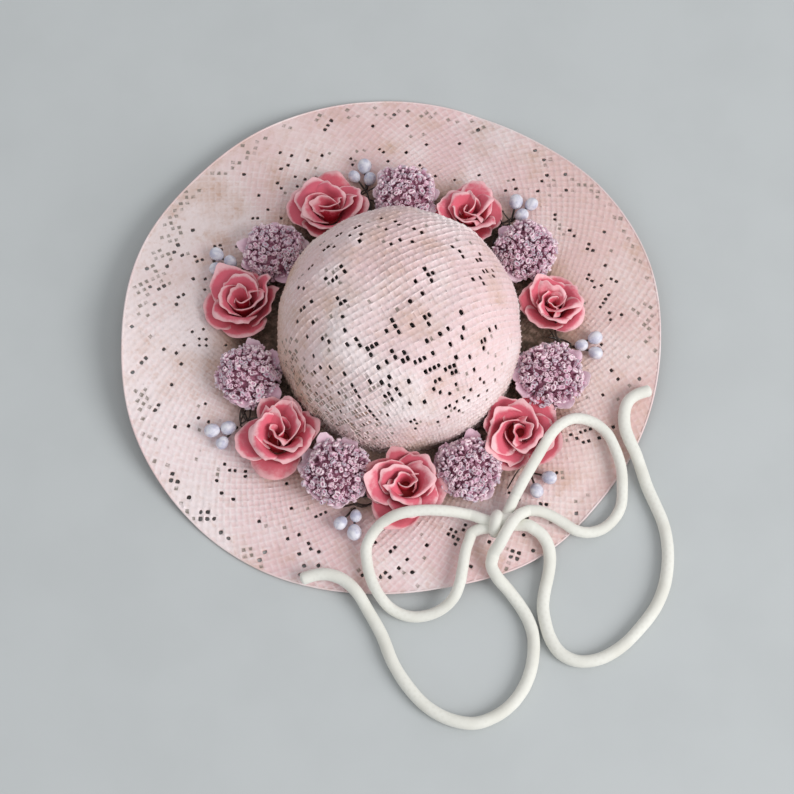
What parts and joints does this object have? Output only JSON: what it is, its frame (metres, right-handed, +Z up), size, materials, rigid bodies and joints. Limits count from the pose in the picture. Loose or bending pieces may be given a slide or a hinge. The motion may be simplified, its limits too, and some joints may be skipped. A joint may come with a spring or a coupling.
{
  "type": "straw hat",
  "caption": "Small decorative round straw hat with a domed crown, a wavy brim, a wreath of paper flowers and buds, and a soft cord tied in a bow with long tails.",
  "frame": {"origin": "on the surface the hat lies on, under the middle of the brim's outline", "axes": "+Z up through the crown, -Y towards the bow, +X to the right of the bow seen from the front"},
  "size_m": [0.1624, 0.2018, 0.0443],
  "materials": {
    "straw": "matte paint on stiffened open weave",
    "rose": "matte paper with pale edges",
    "pom": "matte stamens with pale tips",
    "bud": "matte paper on dark wire",
    "cord": "soft matte cotton"
  },
  "bodies": {
    "root": {"crown": "straw", "brim": "straw", "rose_1": "rose", "rose_2": "rose", "rose_3": "rose", "rose_4": "rose", "rose_5": "rose", "rose_6": "rose", "rose_7": "rose", "pom_1": "pom", "pom_2": "pom", "pom_3": "pom", "pom_4": "pom", "pom_5": "pom", "pom_6": "pom", "pom_7": "pom", "buds_1": "bud", "buds_2": "bud", "buds_3": "bud", "buds_4": "bud", "buds_5": "bud", "buds_6": "bud", "buds_7": "bud", "cord_left_tail": "cord", "cord_right_tail": "cord", "cord_left_loop": "cord", "cord_right_loop": "cord", "cord_knot": "cord"}
  },
  "joints": []
}
